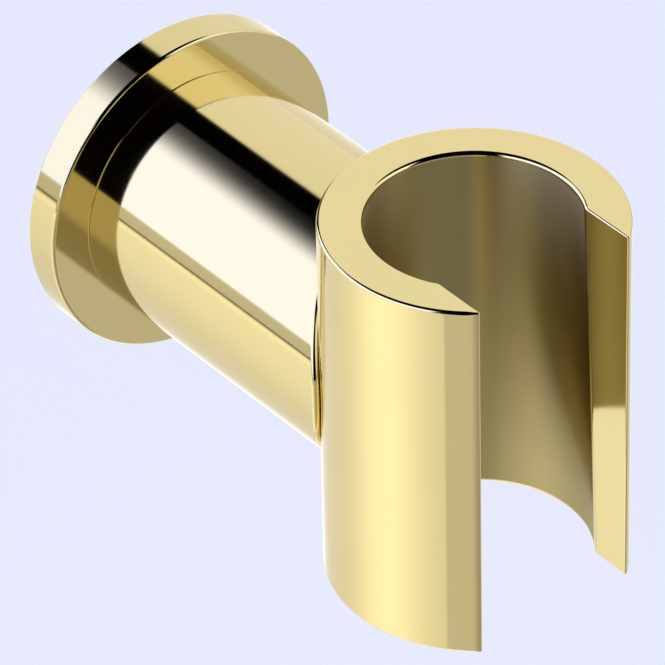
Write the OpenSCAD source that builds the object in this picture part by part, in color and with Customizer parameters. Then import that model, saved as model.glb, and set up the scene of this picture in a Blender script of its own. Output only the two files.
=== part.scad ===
// Wall bracket for a hand shower: a slotted cradle on a short round arm with a wall flange.
// The wall is the plane y = 0, +Z is up and the arm runs along -Y.
// The origin is the centre of the flange's back, on the arm's axis.

/* [Wall flange] */
// Diameter of the flange
flange_d = 38.8; // [36:0.1:60]
// Thickness of the flange
flange_t = 4.3; // [3.8:0.1:7]
// Rounding of the flange's front edge
flange_edge_r = 0.4; // [0.2:0.05:1]
// Rounding of the flange's back edge
flange_back_r = 0.2; // [0.1:0.05:0.5]
// Gap between the flange's hole and the arm's spigot, on the radius
flange_clearance = 0.1; // [0.05:0.05:0.3]

/* [Seals] */
// Width of the flange's rim outside the wall gasket
gasket_rim = 1.2; // [0.8:0.1:2]
// Width of the wall gasket's ring
gasket_w = 3; // [2:0.1:3.5]
// Thickness of the wall gasket, which lies flush in the flange's back
gasket_t = 1; // [0.5:0.1:1.2]
// Cord diameter of the O-ring inside the flange
o_ring_cord_d = 1.5; // [1:0.1:1.8]
// Side gap of the O-ring in its groove
o_ring_side_gap = 0.15; // [0.05:0.05:0.3]

/* [Arm] */
// Diameter of the arm
arm_d = 29; // [27:0.1:30.5]
// Distance from the wall to the cradle's axis
reach = 52.75; // [48:0.25:120]
// Diameter of the spigot that passes through the flange
spigot_d = 24; // [22.5:0.1:25]
// Gap between the spigot's end and the wall
spigot_gap = 0.3; // [0.1:0.1:1]
// Rounding of the arm's edge at the flange
arm_edge_r = 0.15; // [0.1:0.05:0.5]

/* [Wall boss] */
// Diameter of the boss that the wall screw holds
boss_d = 20; // [18:0.1:21]
// Gap between the boss and the arm's socket, on the radius
boss_clearance = 0.1; // [0.05:0.05:0.3]
// Gap between the boss's nose and the socket's floor
boss_end_gap = 0.5; // [0.2:0.1:1]
// How far the boss runs on past the grub screw's axis
boss_nose = 4; // [3:0.5:8]
// Diameter of the hole for the wall screw
wall_screw_hole_d = 5.5; // [4.5:0.5:6.5]
// Diameter of the countersink for the wall screw's head
wall_screw_sink_d = 10.6; // [9:0.2:12]

/* [Grub screw] */
// Thread diameter of the grub screw
grub_d = 5; // [4:1:6]
// Distance from the flange's face to the grub screw's axis
grub_from_flange = 5.7; // [4:0.1:8]
// How deep the grub screw sits under the arm's surface
grub_recess = 0.7; // [0.3:0.1:1.5]
// Depth of the groove in the boss that takes the grub screw's point
grub_groove_depth = 1.2; // [0.8:0.1:1.6]
// Width across the flats of the grub screw's hexagon socket
grub_socket_af = 2.5; // [2:0.5:3]
// Depth of the grub screw's hexagon socket
grub_socket_depth = 2; // [1:0.1:2.2]

/* [Cradle] */
// Outer diameter of the cradle
cradle_d = 33; // [31:0.1:40]
// Height of the cradle
cradle_h = 45; // [38:0.5:80]
// How far the cradle's mid-height lies above the arm's axis
cradle_rise = 0.55; // [-2:0.05:2]
// Diameter of the tapered bore at the cradle's top
bore_top_d = 23.3; // [21.5:0.1:25]
// Diameter of the tapered bore at the cradle's bottom
bore_bottom_d = 25.5; // [21.5:0.1:26.5]
// Width of the slot that the hose passes through
slot_w = 19.9; // [15:0.1:20.6]
// Rounding of the cradle's outer edges, top and bottom
cradle_edge_r = 0.4; // [0.2:0.05:1]
// Rounding of the bore's rims
bore_edge_r = 0.45; // [0.2:0.05:0.8]
// Rounding of the slot walls' top and bottom edges
slot_edge_r = 0.25; // [0.1:0.05:0.5]
// Rounding of the slot's upright edges on the cradle's outside
lip_edge_r = 0.2; // [0.1:0.05:0.8]
// Rounding of the upright edges where the slot meets the bore
throat_r = 1.6; // [0.5:0.1:2.5]

/* [Cradle screw] */
// Thread diameter of the countersunk screw that joins cradle and arm
joint_screw_d = 5; // [4:1:6]
// Overall length of the joint screw
joint_screw_l = 16; // [12:1:18]
// Diameter of the joint screw's head
joint_head_d = 9.6; // [8:0.1:10]
// Width across the flats of the joint screw's hexagon socket
joint_socket_af = 3; // [2:0.5:4]
// Depth of the joint screw's hexagon socket
joint_socket_depth = 1.8; // [1:0.1:2]
// How far the screw's head lies under the bore's wall
joint_head_inset = 0.1; // [0.05:0.05:0.4]
// Gap around the screw's head and shank in the cradle, on the radius
joint_clearance = 0.2; // [0.1:0.05:0.4]

/* [Hidden] */
$fn = 128;

gold = [0.87, 0.79, 0.50];
raw_brass = [0.78, 0.65, 0.35];
steel = [0.75, 0.76, 0.78];
black_rubber = [0.10, 0.10, 0.11];
grey_foam = [0.45, 0.46, 0.48];

// A cutter's overrun past the faces that it opens
over = 1;
// Radial gap between a screw's thread and its tapped hole
thread_gap = 0.05;
// Gap between the grub screw's point and its groove
point_gap = 0.05;
// Rounding circles sit this share of their radius inside their two faces, so they cross them
bite = 0.985;
// Straight rim under the joint screw's flat face, before its cone
joint_head_land = 0.25;
// How far the arm's tapped hole runs on past the joint screw's tip
joint_hole_spare = 1.5;
// Bevel on the wall boss's front edge and on the joint screw's tip
turned_bevel = 0.5;

arm_r = arm_d / 2;
spigot_r = spigot_d / 2;
flange_r = flange_d / 2;
flange_hole_r = spigot_r + flange_clearance;
gasket_outer_r = flange_r - gasket_rim;
gasket_inner_r = gasket_outer_r - gasket_w;
o_ring_groove_r = spigot_r + o_ring_cord_d;
o_ring_groove_w = o_ring_cord_d + 2 * o_ring_side_gap;
o_ring_seat = (flange_t + gasket_t) / 2;

boss_r = boss_d / 2;
socket_r = boss_r + boss_clearance;
grub_from_wall = flange_t + grub_from_flange;
boss_l = grub_from_wall + boss_nose;
socket_depth = boss_l + boss_end_gap;
groove_r = boss_r - grub_groove_depth;

cradle_r = cradle_d / 2;
bore_top_r = bore_top_d / 2;
bore_bottom_r = bore_bottom_d / 2;
top_z = cradle_rise + cradle_h / 2;
bottom_z = cradle_rise - cradle_h / 2;
taper = (bore_bottom_r - bore_top_r) / cradle_h;
slot_half = slot_w / 2;

joint_head_r = joint_head_d / 2;
joint_head_h = joint_head_land + joint_head_r - joint_screw_d / 2;
joint_face_r = bore_r(-joint_head_r) + joint_head_inset;
joint_tip_r = joint_face_r + joint_screw_l;

// Radius of the tapered bore at height z
function bore_r(z) = bore_top_r + (top_z - z) * taper;

// Turns a profile, drawn as (radius, distance from the wall), round the arm's axis
module turned() rotate([90, 0, 0]) rotate_extrude() children();

// A plain rod on the arm's axis, from one distance from the wall to another
module rod(r, from, to) translate([0, -from, 0]) rotate([90, 0, 0]) cylinder(r = r, h = to - from);

// What a rounding removes from a square corner that points along +X and +Y
module corner_waste(r) {
  c = bite * r;
  difference() {
    translate([-c, -c]) square(c + over);
    translate([-c, -c]) circle(r);
  }
}

module flange() {
  color(gold)
    turned()
      difference() {
        translate([flange_hole_r, 0]) square([flange_r - flange_hole_r, flange_t]);
        translate([gasket_inner_r, -over]) square([gasket_w, gasket_t + over]);
        translate([flange_hole_r - over, o_ring_seat - o_ring_groove_w / 2])
          square([o_ring_groove_r - flange_hole_r + over, o_ring_groove_w]);
        translate([flange_r, flange_t]) corner_waste(flange_edge_r);
        translate([flange_r, 0]) mirror([0, 1]) corner_waste(flange_back_r);
      }
}

module wall_gasket() {
  color(grey_foam)
    turned() translate([gasket_inner_r, 0]) square([gasket_w, gasket_t]);
}

module flange_o_ring() {
  color(black_rubber)
    turned() translate([spigot_r + o_ring_cord_d / 2, o_ring_seat]) circle(o_ring_cord_d / 2);
}

module wall_boss() {
  sink_depth = (wall_screw_sink_d - wall_screw_hole_d) / 2;
  color(raw_brass)
    turned()
      polygon([
        [wall_screw_hole_d / 2, 0],
        [boss_r, 0],
        [boss_r, grub_from_wall - grub_groove_depth],
        [groove_r, grub_from_wall],
        [boss_r, grub_from_wall + grub_groove_depth],
        [boss_r, boss_l - turned_bevel],
        [boss_r - turned_bevel, boss_l],
        [wall_screw_sink_d / 2, boss_l],
        [wall_screw_hole_d / 2, boss_l - sink_depth]
      ]);
}

module arm() {
  color(gold)
    difference() {
      turned()
        difference() {
          union() {
            translate([0, spigot_gap]) square([spigot_r, flange_t]);
            translate([0, flange_t]) square([arm_r, reach - flange_t]);
          }
          translate([-over, spigot_gap - over]) square([socket_r + over, socket_depth - spigot_gap + over]);
          translate([arm_r, flange_t]) mirror([0, 1]) corner_waste(arm_edge_r);
        }
      translate([0, -reach, -arm_d]) cylinder(r = cradle_r, h = 2 * arm_d);
      grub_hole();
      rod(joint_screw_d / 2 + thread_gap, reach - joint_tip_r - joint_hole_spare, reach);
    }
}

// The tapped hole for the grub screw, upwards from under the arm into its socket
module grub_hole() {
  translate([0, -grub_from_wall, -arm_r - over])
    cylinder(r = grub_d / 2 + thread_gap, h = arm_r + over - socket_r + over);
}

module grub_screw() {
  tip_z = -groove_r - point_gap;
  tail_z = -arm_r + grub_recess;
  cone_h = grub_d / 2;
  color(steel)
    translate([0, -grub_from_wall, tail_z])
      difference() {
        rotate_extrude()
          polygon([
            [0, 0],
            [grub_d / 2, 0],
            [grub_d / 2, tip_z - tail_z - cone_h],
            [0, tip_z - tail_z]
          ]);
        hexagon_socket(grub_socket_af, grub_socket_depth);
      }
}

// A hexagon socket that opens downwards at z = 0
module hexagon_socket(across_flats, depth) {
  translate([0, 0, -over]) linear_extrude(depth + over) circle(d = across_flats / cos(30), $fn = 6);
}

module cradle() {
  color(gold)
    difference() {
      translate([0, -reach, 0]) cradle_tube();
      translate([0, -reach, 0]) slot();
      joint_screw_seat();
    }
}

// The turned tube with its tapered bore and rounded rims
module cradle_tube() {
  rotate_extrude()
    difference() {
      polygon([
        [bore_top_r, top_z],
        [cradle_r, top_z],
        [cradle_r, bottom_z],
        [bore_bottom_r, bottom_z]
      ]);
      translate([cradle_r, top_z]) corner_waste(cradle_edge_r);
      translate([cradle_r, bottom_z]) mirror([0, 1]) corner_waste(cradle_edge_r);
      translate([bore_top_r, top_z]) mirror([1, 0]) corner_waste(bore_edge_r);
      translate([bore_bottom_r, bottom_z]) rotate(180) corner_waste(bore_edge_r);
    }
}

// Everything that the slot's milling and edge rounding take away
module slot() {
  translate([-slot_half, -cradle_r - over, bottom_z - over])
    cube([slot_w, cradle_r + over, cradle_h + 2 * over]);
  for (side = [0, 1]) mirror([side, 0, 0]) {
    lip_waste();
    throat_waste();
    for (end = [[top_z, 0], [bottom_z, 1]])
      translate([slot_half, 0, end[0]]) mirror([0, 0, end[1]])
        rotate([90, 0, 0]) linear_extrude(cradle_r + over) mirror([1, 0]) corner_waste(slot_edge_r);
  }
}

// What the rounding of a lip's upright outer edge removes
module lip_waste() {
  c = bite * lip_edge_r;
  centre_x = slot_half + c;
  centre_y = -sqrt(pow(cradle_r - c, 2) - pow(centre_x, 2));
  translate([0, 0, bottom_z - over])
    linear_extrude(cradle_h + 2 * over)
      difference() {
        polygon([
          [centre_x, centre_y],
          [slot_half - over, centre_y],
          [slot_half - over, -cradle_r - over],
          [centre_x * (cradle_r + over) / cradle_r, centre_y * (cradle_r + over) / cradle_r]
        ]);
        translate([centre_x, centre_y]) circle(lip_edge_r);
      }
}

// Where the throat's rounding circle has its centre, for a bore of radius r
function throat_y(r) = -sqrt(pow(r + bite * throat_r, 2) - pow(slot_half + bite * throat_r, 2));

// What the rounding where slot and bore meet removes, leaning with the tapered wall
module throat_waste() {
  centre_x = slot_half + bite * throat_r;
  top_y = throat_y(bore_top_r);
  bottom_y = throat_y(bore_bottom_r);
  mid_y = (top_y + bottom_y) / 2;
  lean = atan((top_y - bottom_y) / cradle_h);
  length = cradle_h + 4 * over;
  // The cutter fans out from the slot's wall to a little past the line to the cradle's axis
  past_axis = 12;
  fan_angle = atan2(-mid_y, centre_x) + past_axis;
  fan_r = throat_r + over / 2;
  translate([centre_x, mid_y, cradle_rise])
    rotate([-lean, 0, 0])
      translate([0, 0, -length / 2])
        linear_extrude(length)
          difference() {
            polygon([
              [0, 0],
              [-fan_r, 0],
              [-fan_r, throat_r],
              [-fan_r * cos(fan_angle), fan_r * sin(fan_angle)]
            ]);
            circle(throat_r);
          }
}

// The countersunk hole through the cradle's back wall
module joint_screw_seat() {
  sink_r = joint_head_r + joint_clearance;
  shank_r = joint_screw_d / 2 + joint_clearance;
  seat_r = joint_face_r + joint_head_land;
  translate([0, -reach, 0])
    rotate([-90, 0, 0])
      rotate_extrude()
        polygon([
          [0, 0],
          [sink_r, 0],
          [sink_r, seat_r],
          [shank_r, seat_r + sink_r - shank_r],
          [shank_r, cradle_r + over],
          [0, cradle_r + over]
        ]);
}

module joint_screw() {
  shank_r = joint_screw_d / 2;
  color(steel)
    translate([0, -reach + joint_face_r, 0])
      rotate([-90, 0, 0])
        difference() {
          rotate_extrude()
            polygon([
              [0, 0],
              [joint_head_r, 0],
              [joint_head_r, joint_head_land],
              [shank_r, joint_head_h],
              [shank_r, joint_screw_l - turned_bevel],
              [shank_r - turned_bevel, joint_screw_l],
              [0, joint_screw_l]
            ]);
          hexagon_socket(joint_socket_af, joint_socket_depth);
        }
}

flange();
wall_gasket();
flange_o_ring();
wall_boss();
arm();
grub_screw();
cradle();
joint_screw();
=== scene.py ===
# Wall bracket for a hand shower: fine meshes for its polished pale gold cradle, arm and
# flange, finishes for every piece, and a studio by direction for the gold to reflect.
# Sizes are in millimetres until a mesh is made, and the frame is in metres.
import math

import bpy
import numpy as np
from mathutils import Matrix, Vector


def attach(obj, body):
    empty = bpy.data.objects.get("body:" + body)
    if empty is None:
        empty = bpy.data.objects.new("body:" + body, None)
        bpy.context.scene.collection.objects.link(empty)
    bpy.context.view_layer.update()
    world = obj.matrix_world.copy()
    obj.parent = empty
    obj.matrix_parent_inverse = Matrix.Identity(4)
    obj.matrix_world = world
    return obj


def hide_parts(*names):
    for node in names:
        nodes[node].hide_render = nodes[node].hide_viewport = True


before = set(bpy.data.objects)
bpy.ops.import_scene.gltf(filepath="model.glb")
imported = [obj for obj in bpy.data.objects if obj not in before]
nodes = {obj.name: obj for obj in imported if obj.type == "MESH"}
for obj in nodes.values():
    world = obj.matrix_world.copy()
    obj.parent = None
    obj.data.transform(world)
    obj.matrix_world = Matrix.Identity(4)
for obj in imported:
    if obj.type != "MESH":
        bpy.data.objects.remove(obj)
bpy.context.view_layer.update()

mm = 0.001
photoSide = 665  # pixels, the photograph is square
print("frame loaded:", sorted(nodes))


# Camera: at the photograph's angle, with no shift and no depth of field
cameraPlan = {
    "azimuth": -38.239,
    "elevation": 37.116,
    "roll": -1.263,
    "target": (0, -28.523, -5.850),
    "distance": 781.649,
    "focalPixels": 7197,
    "sensor": 36,
}


def addCamera(plan):
    azimuth, elevation, roll = (math.radians(plan[k]) for k in ("azimuth", "elevation", "roll"))
    level, lift = math.cos(elevation), math.sin(elevation)
    back = Vector((math.sin(azimuth) * level, -math.cos(azimuth) * level, lift))
    sideways = Vector((math.cos(azimuth), math.sin(azimuth), 0))
    upright = sideways.cross(-back)
    right = math.cos(roll) * sideways + math.sin(roll) * upright
    up = math.cos(roll) * upright - math.sin(roll) * sideways
    place = (Vector(plan["target"]) + plan["distance"] * back) * mm
    data = bpy.data.cameras.new("photoCamera")
    data.sensor_width = plan["sensor"]
    data.lens = plan["focalPixels"] * plan["sensor"] / photoSide
    data.clip_start, data.clip_end = 0.01, 50
    camera = bpy.data.objects.new("photoCamera", data)
    bpy.context.scene.collection.objects.link(camera)
    camera.matrix_world = Matrix((
        (right.x, up.x, back.x, place.x),
        (right.y, up.y, back.y, place.y),
        (right.z, up.z, back.z, place.z),
        (0, 0, 0, 1),
    ))
    bpy.context.scene.camera = camera


addCamera(cameraPlan)
print("camera set")


# Shader maths: a Wire is a node's output, and an expression on wires adds Math nodes
class Wire:
    def __init__(self, tree, socket):
        self.tree, self.socket = tree, socket

    def out(self, name):
        return Wire(self.tree, self.socket.node.outputs[name])

    def maths(self, operation, *values):
        return self.tree.add("Math", {"operation": operation}, dict(enumerate(values)))

    def __add__(self, other):
        return self.maths("ADD", self, other)

    def __sub__(self, other):
        return self.maths("SUBTRACT", self, other)

    def __rsub__(self, other):
        return self.maths("SUBTRACT", other, self)

    def __mul__(self, other):
        return self.maths("MULTIPLY", self, other)

    def __truediv__(self, other):
        return self.maths("DIVIDE", self, other)

    def __rtruediv__(self, other):
        return self.maths("DIVIDE", other, self)

    def __neg__(self):
        return self * -1

    __radd__, __rmul__ = __add__, __mul__

    # 0 below start, 1 past end, with a soft turn
    def rise(self, start, end):
        settings = {"interpolation_type": "SMOOTHSTEP"}
        return self.tree.add("MapRange", settings, {"Value": self, "From Min": start, "From Max": end})

    # 1 between low and high, with each edge as soft as it is told
    def band(self, low, high, softLow, softHigh):
        return self.rise(low - softLow, low + softLow) * (1 - self.rise(high - softHigh, high + softHigh))

    # A round hump of height 1 at centre
    def hump(self, centre, width):
        offset = (self - centre) / width
        power = -(offset * offset)
        return power.maths("EXPONENT", power)


# A Recipe is a material's or the world's node tree, and add() makes each node in it
class Recipe:
    def __init__(self, owner):
        owner.use_nodes = True
        self.nodeTree = owner.node_tree
        self.nodeTree.nodes.clear()

    def add(self, kind, settings=None, sockets=None):
        node = self.nodeTree.nodes.new("ShaderNode" + kind)
        for name, value in (settings or {}).items():
            if name == "stops":
                ramp = node.color_ramp.elements
                while len(ramp) < len(value):
                    ramp.new(0.5)
                for element, (position, colour) in zip(ramp, value):
                    element.position, element.color = position, (*colour, 1)
            else:
                setattr(node, name, value)
        for name, value in (sockets or {}).items():
            if isinstance(value, Wire):
                self.nodeTree.links.new(value.socket, node.inputs[name])
            elif isinstance(value, tuple) and node.inputs[name].type == "RGBA":
                node.inputs[name].default_value = (*value, 1)
            else:
                node.inputs[name].default_value = value
        shown = [s for s in node.outputs if s.enabled]
        return Wire(self, shown[0]) if shown else None

    def mixColours(self, factor, first, second, blend="MIX"):
        settings = {"data_type": "RGBA", "blend_type": blend}
        mix = self.add("Mix", settings, {"Factor": factor})
        node = mix.socket.node
        for socket, value in ((node.inputs[6], first), (node.inputs[7], second)):
            if isinstance(value, Wire):
                self.nodeTree.links.new(value.socket, socket)
            else:
                socket.default_value = (*value, 1)
        return Wire(self, node.outputs[2])


# Skin: gathers sheets of four-cornered faces with the true normal at each corner
class Skin:
    def __init__(self):
        self.corners, self.normals, self.finishes, self.caps = [], [], [], []

    def sheet(self, points, normals, finish=0):
        def faces(grid):
            return np.stack([grid[:-1, :-1], grid[1:, :-1], grid[1:, 1:], grid[:-1, 1:]], axis=2).reshape(-1, 4, 3)

        points, normals = np.broadcast_arrays(points, normals)
        self.corners.append(faces(points))
        self.normals.append(faces(normals))
        self.finishes.append(np.full(len(self.corners[-1]), finish))

    def cap(self, loop, normal, finish=0):
        self.caps.append((np.asarray(loop), normal, finish))

    def make(self, name, materials):
        corners = np.concatenate(self.corners)
        normals = np.concatenate(self.normals)
        finishes = np.concatenate(self.finishes)
        across = np.cross(corners[:, 2] - corners[:, 0], corners[:, 3] - corners[:, 1])
        back = np.einsum("ij,ij->i", across, normals.mean(axis=1)) < 0
        corners[back], normals[back] = corners[back, ::-1], normals[back, ::-1]
        flat = [corners.reshape(-1, 3)] + [loop for loop, _, _ in self.caps]
        keys = np.round(np.concatenate(flat) * 1e4).astype(np.int64)
        _, first, index = np.unique(keys, axis=0, return_index=True, return_inverse=True)
        index = index.reshape(-1)
        points = np.concatenate(flat)[first] * mm
        faces, faceNormals, faceFinish = [], [], []
        quads = index[: len(corners) * 4].reshape(-1, 4).tolist()
        for face, around, finish in zip(quads, normals, finishes):
            kept = [k for k in range(4) if face[k] != face[k - 1]]
            if len(kept) > 2 and len(set(face)) == len(kept):
                faces.append([face[k] for k in kept])
                faceNormals.extend(around[k] for k in kept)
                faceFinish.append(finish)
        start = len(corners) * 4
        for loop, normal, finish in self.caps:
            face = index[start : start + len(loop)].tolist()
            start += len(loop)
            ahead = np.roll(loop, -1, axis=0)
            if np.dot(np.cross(loop, ahead).sum(axis=0), normal) < 0:
                face = face[::-1]
            faces.append(face)
            faceNormals.extend([normal] * len(face))
            faceFinish.append(finish)
        mesh = bpy.data.meshes.new(name)
        mesh.from_pydata(points.tolist(), [], faces)
        mesh.polygons.foreach_set("material_index", np.array(faceFinish, np.int32))
        mesh.polygons.foreach_set("use_smooth", np.ones(len(faces), bool))
        mesh.normals_split_custom_set(np.array(faceNormals, float).tolist())
        for material in materials:
            mesh.materials.append(material)
        piece = bpy.data.objects.new(name, mesh)
        bpy.context.scene.collection.objects.link(piece)
        print(f"  {name}: {len(points)} points, {len(faces)} faces")
        return piece


# A turned profile: corners (radius, distance from the wall, rounding), anticlockwise.
# Each straight or round stretch comes back as its points and its normals.
def roundedProfile(corners, arcSteps=10):
    places = [np.array(c[:2], float) for c in corners]
    count = len(places)
    entries, exits, arcs = [], [], []
    for k, (_, _, rounding) in enumerate(corners):
        here, before, after = places[k], places[k - 1], places[(k + 1) % count]
        a = (before - here) / np.linalg.norm(before - here)
        b = (after - here) / np.linalg.norm(after - here)
        if rounding == 0:
            entries.append(here)
            exits.append(here)
            arcs.append(None)
            continue
        half = math.acos(np.clip(np.dot(a, b), -1, 1)) / 2
        reachAlong = rounding / math.tan(half)
        centre = here + (a + b) / np.linalg.norm(a + b) * rounding / math.sin(half)
        entries.append(here + a * reachAlong)
        exits.append(here + b * reachAlong)
        arcs.append((centre, entries[-1] - centre, exits[-1] - centre))
    stretches = []
    for k in range(count):
        if arcs[k]:
            centre, start, end = arcs[k]
            turn = math.atan2(start[0] * end[1] - start[1] * end[0], np.dot(start, end))
            angles = np.linspace(0, turn, arcSteps + 1)[:, None]
            side = np.array([-start[1], start[0]])
            spokes = start * np.cos(angles) + side * np.sin(angles)
            normals = spokes / np.linalg.norm(start) * (1 if turn > 0 else -1)
            stretches.append((centre + spokes, normals))
        a, b = exits[k], entries[(k + 1) % count]
        along = (b - a) / max(np.linalg.norm(b - a), 1e-9)
        if np.linalg.norm(b - a) > 1e-6:
            stretches.append((np.array([a, b]), np.tile([along[1], -along[0]], (2, 1))))
    return stretches


# Rings round the arm's axis for one stretch of a turned profile
def turned(stretch, angles):
    points, normals = stretch

    def rings(pairs):
        radius, depth = pairs[:, 0][:, None], pairs[:, 1][:, None]
        return np.stack([radius * np.sin(angles), -depth + 0 * angles, radius * np.cos(angles)], axis=-1)

    return rings(points), rings(normals)


# A patch of a surface with a round hole: border and hole lie in a plane, and lift puts
# a plane point on the surface
def holedPatch(skin, border, centre, radius, lift, rings=8, finish=0):
    border = np.vstack([border, border[:1]])
    out = border - centre
    circle = centre + radius * out / np.linalg.norm(out, axis=1)[:, None]
    shares = (np.linspace(0, 1, rings + 1) ** 1.3)[:, None, None]
    plane = circle + (border - circle) * shares
    points, normals = lift(plane[..., 0], plane[..., 1])
    skin.sheet(points, normals, finish)
    return points[0]


def circleRow(count):
    return np.radians(np.arange(count + 1) * 360 / count)


# Finishes. The gold is a polished, coated brass: mirror bright, with the slight
# unevenness and fine lines that a buffing wheel leaves.
goldPlan = {
    "colour": (0.760, 0.636, 0.300),
    # per-part tones: the cradle's gold is made paler and the flange's darker than the arm's, as painted light and
    # painted shade on copies of one gold
    "cradlePaintedLightTone": 1.06,
    "armTone": 1.0,
    "flangePaintedShadeTone": 0.96,
    "roughness": 0.075,
    "roughnessSpread": 0.035,
    "tintSpread": 0.03,
    "waveSize": 2.6,
    "waveDepth": 0.00035,
    "lineDepth": 0.00004,
}
borePlan = {
    # darker than goldPlan's colour: painted shade of the deep, narrow bore
    "colour": (0.56, 0.468, 0.215),
    "roughness": 0.40,
    "anisotropy": 0.9,
    "turn": 0.25,
    "grooveSpacing": 0.35,
    "grooveDepth": 0.0004,
}


# Object coordinates in millimetres, stretched by a factor along each axis
def objectPoint(recipe, stretch=(1, 1, 1)):
    place = recipe.add("TexCoord").out("Object")
    return recipe.add("VectorMath", {"operation": "MULTIPLY"}, {0: place, 1: tuple(1000 * s for s in stretch)})


def noise(recipe, place, size, detail=2.0, roughness=0.5):
    sockets = {"Vector": place, "Scale": 1 / size, "Detail": detail, "Roughness": roughness}
    return recipe.add("TexNoise", None, sockets)


def finishShader(recipe, sockets):
    shader = recipe.add("BsdfPrincipled", None, sockets)
    recipe.add("OutputMaterial", None, {"Surface": shader})


def polishedGold(name, paintedLightTone, lineAlong):
    plan = goldPlan
    material = bpy.data.materials.new(name)
    recipe = Recipe(material)
    wave = noise(recipe, objectPoint(recipe), plan["waveSize"], 1)
    cloud = noise(recipe, objectPoint(recipe), 9, 3)
    haze = noise(recipe, objectPoint(recipe), 1.7, 4, 0.6)
    lines = noise(recipe, objectPoint(recipe, lineAlong), 0.09, 3, 0.6)
    shift = 1 + (cloud - 0.5) * plan["tintSpread"] + (lines - 0.5) * plan["tintSpread"] / 2
    # the part's tone scales the gold as painted light or painted shade, not a real difference in the coating
    pale = tuple(c * paintedLightTone for c in plan["colour"])
    tint = recipe.mixColours(shift.rise(0.97, 1.03), tuple(c * 0.985 for c in pale), tuple(c * 1.015 for c in pale))
    roughness = plan["roughness"] + (haze - 0.5) * plan["roughnessSpread"] + (lines - 0.5) * plan["roughnessSpread"] / 2
    height = wave * plan["waveDepth"] + lines * plan["lineDepth"]
    bump = recipe.add("Bump", None, {"Height": height, "Distance": mm, "Strength": 1.0})
    finishShader(recipe, {
        "Base Color": tint, "Metallic": 1.0, "Roughness": roughness, "Normal": bump,
    })
    return material


# The bore is left as the boring bar cut it: fine rings that smear what it reflects
# up and down, and keep it sharp from side to side
def turnedBoreWithPaintedShade():
    plan = borePlan
    material = bpy.data.materials.new("turnedGoldBorePaintedShade")
    recipe = Recipe(material)
    height = recipe.add("SeparateXYZ", None, {0: objectPoint(recipe)}).out("Z")
    turns = height * (math.tau / plan["grooveSpacing"])
    grooves = turns.maths("SINE", turns)
    rings = noise(recipe, objectPoint(recipe, (0.04, 0.04, 1)), 0.22, 3, 0.6)
    cloud = noise(recipe, objectPoint(recipe), 5, 3)
    # the bore's gold is darker than the outside's as painted shade; the rings and cloud vary its tone at random
    pale = plan["colour"]
    tint = recipe.mixColours(rings * 0.6 + cloud * 0.4, tuple(c * 0.94 for c in pale), tuple(c * 1.06 for c in pale))
    bump = recipe.add("Bump", None, {"Height": (grooves * 0.5 + rings) * plan["grooveDepth"], "Distance": mm, "Strength": 1.0})
    finishShader(recipe, {
        "Base Color": tint, "Metallic": 1.0, "Roughness": plan["roughness"] + (rings - 0.5) * 0.08,
        "Anisotropic": plan["anisotropy"], "Anisotropic Rotation": plan["turn"], "Normal": bump,
    })
    return material


gold = {
    "cradle": polishedGold("polishedGoldCradle", goldPlan["cradlePaintedLightTone"], (0.03, 0.03, 1)),
    "bore": turnedBoreWithPaintedShade(),
    "arm": polishedGold("polishedGoldArm", goldPlan["armTone"], (0.03, 1, 0.03)),
    "flange": polishedGold("polishedGoldFlange", goldPlan["flangePaintedShadeTone"], (0.03, 1, 0.03)),
}
print("gold finishes made")


# Cradle: a slotted tube with a bore that widens downwards
cradlePlan = {
    "reach": 52.75,
    "radius": 16.5,
    "top": 23.05,
    "bottom": -21.95,
    "boreTop": 11.65,
    "boreBottom": 12.75,
    "slotHalf": 9.95,
    "outerRim": 0.4,
    "boreRim": 0.45,
    "slotRim": 0.25,
    "lipRim": 0.19,
    "lipRounding": 0.2,
    "throatRounding": 1.6,
    "outerSteps": 210,
    "boreSteps": 150,
    "lipSteps": 14,
    "wallSteps": 8,
    "throatSteps": 28,
    "rimSteps": 9,
}
seatPlan = {
    "sink": 5.0,
    "shank": 2.7,
    "seatFrom": 12.68,
    "shankFrom": 14.98,
    "reachZ": 7.0,
    "rows": 20,
    "columnAngle": 34.0,
}


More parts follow.
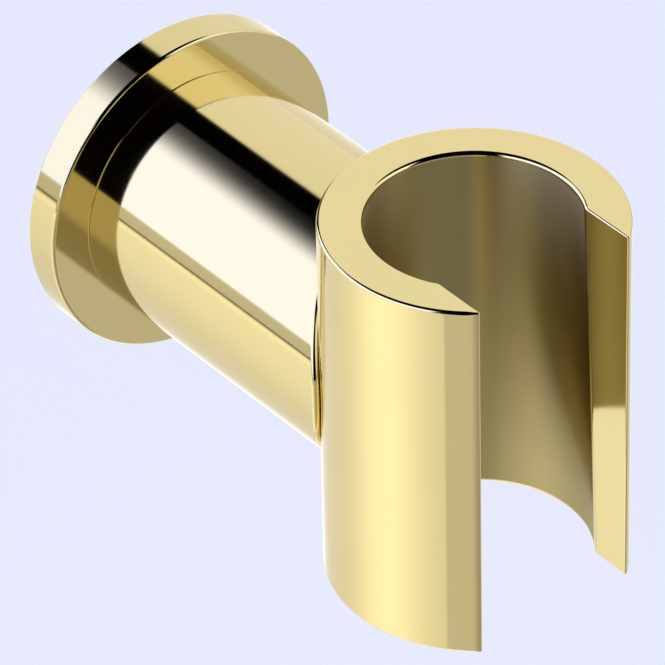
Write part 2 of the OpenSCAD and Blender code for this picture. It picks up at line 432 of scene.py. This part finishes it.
# Half of the cradle's outline at height z, from the back of the outside round the lip,
# along the slot and round the bore to its back. Plan angles turn from +Y towards +X.
def halfOutline(plan, z):
    z = np.asarray(z, float)
    taper = (plan["boreBottom"] - plan["boreTop"]) / (plan["top"] - plan["bottom"])
    bore = plan["boreTop"] + (plan["top"] - z) * taper
    half, outer, lip, throat = (plan[k] for k in ("slotHalf", "radius", "lipRounding", "throatRounding"))
    lipCentre = np.array([half + lip, -math.sqrt((outer - lip) ** 2 - (half + lip) ** 2)])
    lipStart = math.atan2(*lipCentre)
    counts = [plan[k] for k in ("outerSteps", "lipSteps", "wallSteps", "throatSteps", "boreSteps")]
    starts = np.cumsum([0] + counts)
    column = np.arange(starts[-1] + 1)
    bore = np.broadcast_to(bore, column.shape) if bore.ndim == 0 else bore
    throatX = half + throat
    throatY = -np.sqrt((bore + throat) ** 2 - throatX**2)
    throatSlope = (bore + throat) / throatY * -taper
    boreStart = np.arctan2(throatX, throatY)
    x, y, nx, ny, nz = (np.zeros(len(column)) for _ in range(5))

    def share(k):
        here = (column >= starts[k]) & (column <= starts[k + 1])
        return here, (column[here] - starts[k]) / counts[k]

    here, t = share(0)
    angle = t * lipStart
    nx[here], ny[here] = np.sin(angle), np.cos(angle)
    x[here], y[here] = outer * nx[here], outer * ny[here]
    here, t = share(1)
    angle = lipStart + t * (1.5 * math.pi - lipStart)
    nx[here], ny[here] = np.sin(angle), np.cos(angle)
    x[here], y[here] = lipCentre[0] + lip * nx[here], lipCentre[1] + lip * ny[here]
    here, t = share(2)
    x[here], y[here] = half, lipCentre[1] + t * (throatY[here] - lipCentre[1])
    nx[here], ny[here] = -1, 0
    here, t = share(3)
    angle = 1.5 * math.pi + t * (boreStart[here] + math.pi - 1.5 * math.pi)
    nx[here], ny[here] = np.sin(angle), np.cos(angle)
    x[here], y[here] = throatX + throat * nx[here], throatY[here] + throat * ny[here]
    nz[here] = -ny[here] * throatSlope[here]
    here, t = share(4)
    angle = boreStart[here] * (1 - t)
    nx[here], ny[here] = -np.sin(angle), -np.cos(angle)
    x[here], y[here] = bore[here] * np.sin(angle), bore[here] * np.cos(angle)
    nz[here] = -taper
    return x, y, nx, ny, nz, starts


# Rim rounding along the half outline, easing from one stretch to the next
def rimRadii(plan):
    x, y, *_, starts = halfOutline(plan, 0.0)
    along = np.concatenate([[0], np.cumsum(np.hypot(np.diff(x), np.diff(y)))])
    lipIn, lipOut, throatIn, throatOut = (along[starts[k]] for k in (1, 2, 3, 4))
    ease = 1.2
    spots = [0, lipIn - ease, lipIn, lipOut, lipOut + ease, throatIn, throatOut, throatOut + ease, along[-1]]
    names = ["outerRim"] * 2 + ["lipRim"] * 2 + ["slotRim"] * 2 + ["boreRim"] * 3
    radii = [plan[name] for name in names]
    return np.interp(along, spots, radii)


def buildCradle(plan, seat):
    skin = Skin()
    rim = rimRadii(plan)
    tops, bottoms = plan["top"] - rim, plan["bottom"] + rim
    seatRows = np.linspace(-seat["reachZ"], seat["reachZ"], seat["rows"] + 1)
    heights = [bottoms] + [np.full_like(rim, z) for z in seatRows] + [tops]

    def placed(x, y, z, nx, ny, nz, side):
        points = np.stack([side * x, y - plan["reach"], z], axis=-1)
        normals = np.stack([side * nx, ny, nz], axis=-1)
        return points, normals / np.linalg.norm(normals, axis=-1, keepdims=True)

    walls = []
    for z in heights:
        x, y, nx, ny, nz, starts = halfOutline(plan, z)
        walls.append((x, y, z, nx, ny, nz))
    angles = np.linspace(0, math.pi / 2, plan["rimSteps"] + 1)
    rims = {}
    for end, z0, up in (("top", tops, 1), ("bottom", bottoms, -1)):
        x, y, nx, ny, nz, _ = halfOutline(plan, z0)
        tilt = np.arctan2(up * nz, 1)
        rows = []
        for a in angles:
            a = tilt * (1 - a / (math.pi / 2)) + a
            rows.append((x - nx * rim * (1 - np.cos(a)), y - ny * rim * (1 - np.cos(a)),
                         z0 + up * rim * np.sin(a), nx * np.cos(a), ny * np.cos(a), up * np.sin(a)))
        flatZ = plan[end]
        rows = [(r[0], r[1], np.where(k == len(rows) - 1, flatZ, r[2]), *r[3:]) for k, r in enumerate(rows)]
        rows[0] = (x, y, z0, nx, ny, nz)
        rims[end] = rows
    throatEnd = starts[4]
    # columns within the seat's angle of the back, on the outside and in the bore
    def nearBack(x, y):
        return np.degrees(np.abs(np.arctan2(x, y))) <= seat["columnAngle"]

    for side in (1, -1):
        for stack in (walls, rims["top"], rims["bottom"]):
            grids = [placed(*row, side) for row in stack]
            points = np.stack([g[0] for g in grids])
            normals = np.stack([g[1] for g in grids])
            isWall = stack is walls
            for low, high, finish in ((0, throatEnd, 0), (throatEnd, points.shape[1] - 1, 1)):
                part, partNormals = points[:, low : high + 1], normals[:, low : high + 1]
                if not isWall:
                    skin.sheet(part, partNormals)
                    continue
                close = nearBack(part[1, :, 0], part[1, :, 1] + plan["reach"])
                if not close.any():
                    skin.sheet(part, partNormals, finish)
                    continue
                edge = int(np.argmax(close)) if finish else int(len(close) - 1 - np.argmax(close[::-1]))
                far = slice(0, edge + 1) if finish else slice(edge, None)
                near = slice(edge, None) if finish else slice(0, edge + 1)
                skin.sheet(part[:, far], partNormals[:, far], finish)
                skin.sheet(part[:2, near], partNormals[:2, near], finish)
                skin.sheet(part[-2:, near], partNormals[-2:, near], finish)
    # the two patches that the joint screw's seat opens, and the seat between them
    x, y = walls[1][:2]
    close = nearBack(x, y)
    outerColumns = np.where(close & (np.arange(len(x)) < starts[1]))[0]
    boreColumns = np.where(close & (np.arange(len(x)) >= throatEnd))[0]
    taper = (plan["boreBottom"] - plan["boreTop"]) / (plan["top"] - plan["bottom"])

    def borderOf(columns, radiusAt):
        sines = [math.sin(math.atan2(x[c], y[c])) for c in columns]
        sines = sorted(set(round(s, 12) for s in sines) | set(round(-s, 12) for s in sines))
        low, high = seatRows[0], seatRows[-1]
        border = [(radiusAt(low) * s, low) for s in sines]
        border += [(radiusAt(z) * sines[-1], z) for z in seatRows[1:]]
        border += [(radiusAt(high) * s, high) for s in sines[::-1][1:]]
        border += [(radiusAt(z) * sines[0], z) for z in seatRows[::-1][1:-1]]
        return np.array(border)

    def boreRadius(z):
        return plan["boreTop"] + (plan["top"] - z) * taper

    def liftBore(a, b):
        radius = boreRadius(b)
        deep = np.sqrt(radius**2 - a**2)
        normals = np.stack([-a / radius, -deep / radius, np.full_like(a, -taper)], axis=-1)
        return np.stack([a, deep - plan["reach"], b], axis=-1), normals / np.linalg.norm(normals, axis=-1, keepdims=True)

    def liftOuter(a, b):
        deep = np.sqrt(plan["radius"] ** 2 - a**2)
        return (np.stack([a, deep - plan["reach"], b], axis=-1),
                np.stack([a, deep, np.zeros_like(a)], axis=-1) / plan["radius"])

    borders = [borderOf(boreColumns, boreRadius), borderOf(outerColumns, lambda z: plan["radius"])]
    inner = holedPatch(skin, borders[0], np.zeros(2), seat["sink"], liftBore, 10, 1)
    outer = holedPatch(skin, borders[1], np.zeros(2), seat["shank"], liftOuter, 10, 0)

    def ringAt(around, radius, fromAxis):
        t = np.arctan2(around[:, 2], around[:, 0])
        return np.stack([radius * np.cos(t), np.full_like(t, fromAxis - plan["reach"]), radius * np.sin(t)], axis=-1)

    def inward(ring, lean=0.0):
        flat = np.stack([-ring[:, 0], np.zeros(len(ring)), -ring[:, 2]], axis=-1)
        flat /= np.linalg.norm(flat, axis=-1, keepdims=True)
        flat = flat * math.cos(lean) + np.array([0, -math.sin(lean), 0])
        return flat

    sinkEnd, shankStart = ringAt(inner, seat["sink"], seat["seatFrom"]), ringAt(inner, seat["shank"], seat["shankFrom"])
    skin.sheet(np.stack([inner, sinkEnd]), np.stack([inward(inner)] * 2), 1)
    skin.sheet(np.stack([sinkEnd, shankStart]), np.stack([inward(inner, math.pi / 4)] * 2), 1)
    shankMid = ringAt(outer, seat["shank"], seat["shankFrom"])
    skin.sheet(np.stack([shankMid, outer]), np.stack([inward(outer)] * 2), 1)
    for end, up in (("top", 1.0), ("bottom", -1.0)):
        x, y, z, *_ = rims[end][-1]
        right = np.stack([x, y - plan["reach"], z], axis=-1)
        left = (right * (-1, 1, 1))[::-1]
        skin.cap(np.vstack([right, left[1:-1]]), (0.0, 0.0, up))
    return skin


cradle = buildCradle(cradlePlan, seatPlan).make("cradleBody", [gold["cradle"], gold["bore"]])
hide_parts("cradle")
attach(cradle, "root")
print("cradle made")


# Arm: a round bar, coped to the cradle, with a spigot and a socket at the wall
armPlan = {
    "reach": 52.75,
    "radius": 14.5,
    "saddleRadius": 16.5,
    "saddleRounding": 0.5,
    "flangeFace": 4.3,
    "shoulderRounding": 0.15,
    "spigotRadius": 12.0,
    "spigotEnd": 0.3,
    "socketRadius": 10.1,
    "socketDepth": 14.5,
    "spigotBevel": 0.3,
    "screwHole": 2.55,
    "screwHoleEnd": 22.8,
    "grubHole": 2.55,
    "grubFrom": 10.0,
    "grubSquare": 3.9,
    "grubColumns": 16,
    "grubRows": 16,
    "around": 720,
}


def buildArm(plan):
    skin = Skin()
    radius, reach, rounding = plan["radius"], plan["reach"], plan["saddleRounding"]
    angles = circleRow(plan["around"])  # from +Z towards +X
    around = np.stack([np.sin(angles), np.zeros_like(angles), np.cos(angles)], axis=-1)
    ballX, ballZ = (radius - rounding) * np.sin(angles), (radius - rounding) * np.cos(angles)
    ballFromAxis = np.sqrt((plan["saddleRadius"] + rounding) ** 2 - ballX**2)
    ball = np.stack([ballX, ballFromAxis - reach, ballZ], axis=-1)
    toAxis = -np.stack([ballX, ballFromAxis, np.zeros_like(ballX)], axis=-1) / (plan["saddleRadius"] + rounding)
    # the outside, from the flange's face to the saddle's rounding
    lowRow, highRow = plan["grubFrom"] - plan["grubSquare"], plan["grubFrom"] + plan["grubSquare"]
    grubRows = np.linspace(lowRow, highRow, plan["grubRows"] + 1)
    start = plan["flangeFace"] + plan["shoulderRounding"]
    rows = [np.full_like(angles, -start)] + [np.full_like(angles, -d) for d in grubRows]
    rows += [-highRow + (ball[:, 1] + highRow) * t for t in np.linspace(0, 1, 9)[1:]]
    points = np.stack([radius * around + np.stack([0 * r, r, 0 * r], axis=-1) for r in rows])
    normals = np.stack([around] * len(rows))
    middle = plan["around"] // 2
    first, last = middle - plan["grubColumns"], middle + plan["grubColumns"]
    inside = slice(1, plan["grubRows"] + 2)
    skin.sheet(points[:2], normals[:2])
    skin.sheet(points[plan["grubRows"] + 1 :], normals[plan["grubRows"] + 1 :])
    for columns in (slice(0, first + 1), slice(last, None)):
        skin.sheet(points[inside, columns], normals[inside, columns])

    # the same columns and rows round the grub screw's hole, outside and in the socket
    def borderAt(r):
        across = r * np.sin(angles[first : last + 1])[::-1]
        border = [(a, -lowRow) for a in across]
        border += [(across[-1], -d) for d in grubRows[1:]]
        border += [(a, -highRow) for a in across[::-1][1:]]
        border += [(across[0], -d) for d in grubRows[::-1][1:-1]]
        return np.array(border)

    def lifter(r, sign):
        def lift(a, b):
            deep = np.sqrt(r**2 - a**2)
            return np.stack([a, b, -deep], axis=-1), sign * np.stack([a, np.zeros_like(a), -deep], axis=-1) / r

        return lift

    centre = np.array([0, -plan["grubFrom"]])
    rimOut = holedPatch(skin, borderAt(radius), centre, plan["grubHole"], lifter(radius, 1))
    rimIn = holedPatch(skin, borderAt(plan["socketRadius"]), centre, plan["grubHole"], lifter(plan["socketRadius"], -1))
    towards = np.stack([-rimOut[:, 0], -(rimOut[:, 1] - centre[1]), 0 * rimOut[:, 0]], axis=-1) / plan["grubHole"]
    skin.sheet(np.stack([rimOut, rimIn]), np.stack([towards] * 2))
    # the rounding of the saddle's edge, then the saddle down to the screw's hole
    cosine = np.clip(np.einsum("ij,ij->i", around, toAxis), -1, 1)
    whole = np.arccos(cosine)[:, None]
    rounded = []
    for t in np.linspace(0, 1, 11):
        rounded.append((np.sin((1 - t) * whole) * around + np.sin(t * whole) * toAxis) / np.sin(whole))
    skin.sheet(np.stack([ball + rounding * n for n in rounded]), np.stack(rounded))
    edge = (ball + rounding * toAxis)[:, [0, 2]]
    hole = plan["screwHole"] * around[:, [0, 2]]
    plane = np.stack([edge + (hole - edge) * t for t in np.linspace(0, 1, 13)])
    deep = np.sqrt(plan["saddleRadius"] ** 2 - plane[..., 0] ** 2)
    saddle = np.stack([plane[..., 0], deep - reach, plane[..., 1]], axis=-1)
    skin.sheet(saddle, -np.stack([plane[..., 0], deep, 0 * deep], axis=-1) / plan["saddleRadius"])
    holeEnd = np.stack([hole[:, 0], np.full(len(hole), -plan["screwHoleEnd"]), hole[:, 1]], axis=-1)
    skin.sheet(np.stack([saddle[-1], holeEnd]), np.stack([-around] * 2))
    skin.cap(holeEnd[:-1], (0.0, -1.0, 0.0))
    # shoulder, spigot and socket
    shoulder, face = plan["shoulderRounding"], plan["flangeFace"]
    turn = np.linspace(0, math.pi / 2, 7)[:, None]
    corner = np.stack([(radius - shoulder * (1 - np.cos(turn))) * np.sin(angles),
                       -(face + shoulder * (1 - np.sin(turn))) + 0 * angles,
                       (radius - shoulder * (1 - np.cos(turn))) * np.cos(angles)], axis=-1)
    cornerNormals = np.stack([np.cos(turn) * np.sin(angles), np.sin(turn) + 0 * angles, np.cos(turn) * np.cos(angles)], axis=-1)
    skin.sheet(corner, cornerNormals)

    def ring(r, depth):
        return r * around + np.array([0, -depth, 0])

    wall = np.array([0.0, 1.0, 0.0])
    spigot, end, socket, floor = plan["spigotRadius"], plan["spigotEnd"], plan["socketRadius"], plan["socketDepth"]
    bevel = plan["spigotBevel"]
    skin.sheet(np.stack([corner[-1], ring(spigot, face)]), wall + 0 * np.stack([around] * 2))
    skin.sheet(np.stack([ring(spigot, face), ring(spigot, end + bevel)]), np.stack([around] * 2))
    skin.sheet(np.stack([ring(spigot, end + bevel), ring(spigot - bevel, end)]), np.stack([(around + wall) / math.sqrt(2)] * 2))
    skin.sheet(np.stack([ring(spigot - bevel, end), ring(socket + bevel, end)]), wall + 0 * np.stack([around] * 2))
    skin.sheet(np.stack([ring(socket + bevel, end), ring(socket, end + bevel)]), np.stack([(wall - around) / math.sqrt(2)] * 2))
    depths = [end + bevel, *grubRows, floor]
    inner = np.stack([ring(socket, d) for d in depths])
    innerNormals = np.stack([-around] * len(depths))
    skin.sheet(inner[:2], innerNormals[:2])
    skin.sheet(inner[-2:], innerNormals[-2:])
    for columns in (slice(0, first + 1), slice(last, None)):
        skin.sheet(inner[inside, columns], innerNormals[inside, columns])
    skin.cap(ring(socket, floor)[:-1], (0.0, 1.0, 0.0))
    return skin


arm = buildArm(armPlan).make("armBody", [gold["arm"]])
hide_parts("arm")
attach(arm, "root")
print("arm made")


# Flange: a turned ring with its O-ring groove and its gasket's recess
flangePlan = {
    "radius": 19.4,
    "thickness": 4.3,
    "hole": 12.1,
    "frontRounding": 0.4,
    "backRounding": 0.2,
    "gasketOuter": 18.2,
    "gasketInner": 15.2,
    "gasketDepth": 1.0,
    "grooveRadius": 13.5,
    "grooveMiddle": 2.65,
    "grooveWidth": 1.8,
    "edgeBreak": 0.05,
    "around": 720,
}


def buildFlange(plan):
    skin = Skin()
    breakEdge = plan["edgeBreak"]
    grooveIn = plan["grooveMiddle"] - plan["grooveWidth"] / 2
    grooveOut = plan["grooveMiddle"] + plan["grooveWidth"] / 2
    corners = [
        (plan["hole"], 0, breakEdge),
        (plan["gasketInner"], 0, breakEdge),
        (plan["gasketInner"], plan["gasketDepth"], 0),
        (plan["gasketOuter"], plan["gasketDepth"], 0),
        (plan["gasketOuter"], 0, breakEdge),
        (plan["radius"], 0, plan["backRounding"]),
        (plan["radius"], plan["thickness"], plan["frontRounding"]),
        (plan["hole"], plan["thickness"], 0),
        (plan["hole"], grooveOut, breakEdge),
        (plan["grooveRadius"], grooveOut, 0),
        (plan["grooveRadius"], grooveIn, 0),
        (plan["hole"], grooveIn, breakEdge),
    ]
    angles = circleRow(plan["around"])
    for stretch in roundedProfile(corners, 8):
        skin.sheet(*turned(stretch, angles))
    return skin


flange = buildFlange(flangePlan).make("flangeBody", [gold["flange"]])
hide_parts("flange")
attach(flange, "root")
print("flange made")


# Finishes of the nodes that stay: turned brass boss, steel screws, rubber and foam
plainPlan = {
    "bossColour": (0.72, 0.53, 0.24),
    "steelColour": (0.58, 0.58, 0.57),
    "rubberColour": (0.028, 0.028, 0.030),
    "foamColour": (0.12, 0.122, 0.13),
}


def turnedBrass():
    material = bpy.data.materials.new("turnedBrassBoss")
    recipe = Recipe(material)
    rings = noise(recipe, objectPoint(recipe, (0.05, 1, 0.05)), 0.12, 3, 0.6)
    facing = recipe.add("SeparateXYZ", None, {0: objectPoint(recipe)})
    radius = (facing.out("X") * facing.out("X") + facing.out("Z") * facing.out("Z"))
    radius = radius.maths("SQRT", radius)
    spiral = (radius * 30).maths("SINE", radius * 30)
    cloud = noise(recipe, objectPoint(recipe), 2.2, 4, 0.6)
    colour = plainPlan["bossColour"]
    tint = recipe.mixColours(cloud.rise(0.35, 0.7), tuple(c * 0.85 for c in colour), tuple(c * 1.08 for c in colour))
    bump = recipe.add("Bump", None, {"Height": (rings + spiral * 0.3) * 0.006, "Distance": mm, "Strength": 1.0})
    finishShader(recipe, {"Base Color": tint, "Metallic": 1.0, "Roughness": 0.24 + cloud * 0.14, "Normal": bump})
    return material


def plainSteel():
    material = bpy.data.materials.new("plainSteelScrew")
    recipe = Recipe(material)
    grain = noise(recipe, objectPoint(recipe), 0.25, 4, 0.6)
    cloud = noise(recipe, objectPoint(recipe), 1.6, 3)
    colour = plainPlan["steelColour"]
    tint = recipe.mixColours(cloud.rise(0.3, 0.7), tuple(c * 0.88 for c in colour), tuple(c * 1.06 for c in colour))
    bump = recipe.add("Bump", None, {"Height": grain * 0.006, "Distance": mm, "Strength": 1.0})
    finishShader(recipe, {"Base Color": tint, "Metallic": 1.0, "Roughness": 0.26 + grain * 0.14, "Normal": bump})
    return material


def mattRubber():
    material = bpy.data.materials.new("mattRubberRing")
    recipe = Recipe(material)
    grain = noise(recipe, objectPoint(recipe), 0.12, 3, 0.6)
    colour = plainPlan["rubberColour"]
    tint = recipe.mixColours(grain.rise(0.3, 0.8), colour, tuple(c * 1.8 for c in colour))
    bump = recipe.add("Bump", None, {"Height": grain * 0.01, "Distance": mm, "Strength": 1.0})
    finishShader(recipe, {"Base Color": tint, "Roughness": 0.5 + grain * 0.2, "Normal": bump})
    return material


# Closed-cell foam: small round cells, cut open on the faces
def foamRubber():
    material = bpy.data.materials.new("foamRubberGasket")
    recipe = Recipe(material)
    cells = recipe.add("TexVoronoi", {"feature": "F1"}, {"Vector": objectPoint(recipe), "Scale": 3.2}).out("Distance")
    cloud = noise(recipe, objectPoint(recipe), 1.4, 3)
    colour = plainPlan["foamColour"]
    pitDepthAndShade = cells.rise(0.1, 0.5)
    # the open cells' hollows are painted darker, as painted shade in the pits; the same mask sinks them in the bump
    tint = recipe.mixColours(pitDepthAndShade * 0.7 + cloud * 0.3, tuple(c * 0.55 for c in colour), tuple(c * 1.3 for c in colour))
    bump = recipe.add("Bump", None, {"Height": pitDepthAndShade * 0.05, "Distance": mm, "Strength": 1.0})
    finishShader(recipe, {"Base Color": tint, "Roughness": 0.85, "Normal": bump})
    return material


steel = plainSteel()
stayingFinishes = {
    "wall_gasket": foamRubber(),
    "flange_o_ring": mattRubber(),
    "wall_boss": turnedBrass(),
    "grub_screw": steel,
    "joint_screw": steel,
}
for name, material in stayingFinishes.items():
    slots = nodes[name].data.materials
    if not slots:
        slots.append(material)
    for k in range(len(slots)):
        nodes[name].material_slots[k].material = material
print("finishes of the staying nodes made")


# Studio, by direction: azimuth turns from -Y towards +X, height is above the horizon.
# Two soft boxes stand left and right, with a dark gap in front and overhead, over a floor.
studioPlan = {
    "level": 1.184,
    "floorFront": 0.57,
    "floorBack": 0.74,
    "leftPool": (-110, 30, 0.40),
    "rightPool": (146, 15, 0.33),
    "floorEdge": -62,
    "darkFloor": (-40, 18, 0.33),
    "strip": (-7.4, 0, 0.60),
    "darkLine": (-9.2, -7.6, 0.12),
    "brightLine": (-12.6, -10.4, 0.12),
    "leftBox": (1.13, 1.27, 2.25),
    "rightBox": (0.84, 0.84, 0.86),
    "frontBox": (1.12, 1.22, 1.7),
    "boxTop": 46.5,
}
floorPlan = {
    "height": -75.0,
    "size": 6.0,
    "colour": (0.80, 0.80, 0.80),
    "glow": 0.45,
}


def buildStudio(plan):
    world = bpy.data.worlds.new("studio")
    bpy.context.scene.world = world
    recipe = Recipe(world)
    aim = recipe.add("SeparateXYZ", None, {0: recipe.add("TexCoord").out("Generated")})
    x, y, z = aim.out("X"), aim.out("Y"), aim.out("Z")
    azimuth = x.maths("ARCTAN2", x, -y) * (180 / math.pi)
    height = z.maths("ARCSINE", z) * (180 / math.pi)
    # the floor, by azimuth: brighter pools of light left and right, dark in front
    leftPool, rightPool = plan["leftPool"], plan["rightPool"]
    behind = 1 - azimuth.rise(plan["floorEdge"] - 0.6, plan["floorEdge"] + 0.6) * (1 - azimuth.rise(118, 140))
    floor = plan["floorFront"] + (plan["floorBack"] - plan["floorFront"]) * behind
    floor = floor + azimuth.hump(leftPool[0], leftPool[1]) * leftPool[2] * behind
    floor = floor + azimuth.hump(rightPool[0], rightPool[1]) * rightPool[2]
    darkLow, darkHigh, darkLevel = plan["darkFloor"]
    dark = azimuth.band(darkLow, darkHigh, 3, 8)
    floor = floor - dark * (plan["floorFront"] - darkLevel)
    # near the horizon on the left: a grey strip, a dark line and a bright line
    left = azimuth.band(-200, -70, 1, 6)
    for low, high, grey in (plan["strip"], plan["darkLine"]):
        share = height.band(low, high, 0.3, 0.3) * left
        floor = floor * (1 - share) + share * grey
    low, high, extra = plan["brightLine"]
    floor = floor + height.band(low, high, 0.4, 0.4) * left * extra
    # the boxes stand above the horizon
    above = height.rise(-0.35, 0.35)
    leftBox = azimuth.band(-220, -68, 1, 4) * (1 - height.rise(40, 50.5)) * above
    rightLow = azimuth.band(24, 158, 1.5, 1.5)
    rightTop = 1 - height.rise(plan["boxTop"] - 0.8, plan["boxTop"] + 0.8)
    rightBox = rightLow * rightTop * above
    frontShare = azimuth.band(20, 60, 1, 14) * height.rise(2, 22)
    boxes = recipe.mixColours(rightBox, (0, 0, 0), plan["rightBox"])
    boxes = recipe.mixColours(frontShare * rightBox, boxes, plan["frontBox"])
    boxes = recipe.mixColours(leftBox, boxes, plan["leftBox"])
    ground = recipe.add("CombineColor", None, {0: floor, 1: floor, 2: floor})
    sky = recipe.mixColours(above, ground, boxes)
    seen = recipe.add("LightPath").out("Is Camera Ray")
    glow = recipe.add("Background", None, {"Color": sky, "Strength": plan["level"]})
    white = recipe.add("Background", None, {"Color": (1, 1, 1), "Strength": 1.0})
    shown = recipe.add("MixShader", None, {0: seen, 1: glow, 2: white})
    recipe.add("OutputWorld", None, {"Surface": shown})


# A plain pale floor. It takes the soft shadow, and the gold sees the studio's own floor.
def buildFloor(plan):
    half = plan["size"] / 2
    mesh = bpy.data.meshes.new("paleFloor")
    z = plan["height"] * mm
    mesh.from_pydata([(-half, -half, z), (half, -half, z), (half, half, z), (-half, half, z)], [], [(0, 1, 2, 3)])
    material = bpy.data.materials.new("palePaper")
    recipe = Recipe(material)
    finishShader(recipe, {
        "Base Color": plan["colour"], "Roughness": 1.0, "Specular IOR Level": 0.0,
        "Emission Color": (1, 1, 1), "Emission Strength": plan["glow"],
    })
    mesh.materials.append(material)
    floor = bpy.data.objects.new("paleFloor", mesh)
    bpy.context.scene.collection.objects.link(floor)
    floor.visible_glossy = False


buildStudio(studioPlan)
buildFloor(floorPlan)
bpy.context.scene.view_settings.view_transform = "Standard"
print("studio set")
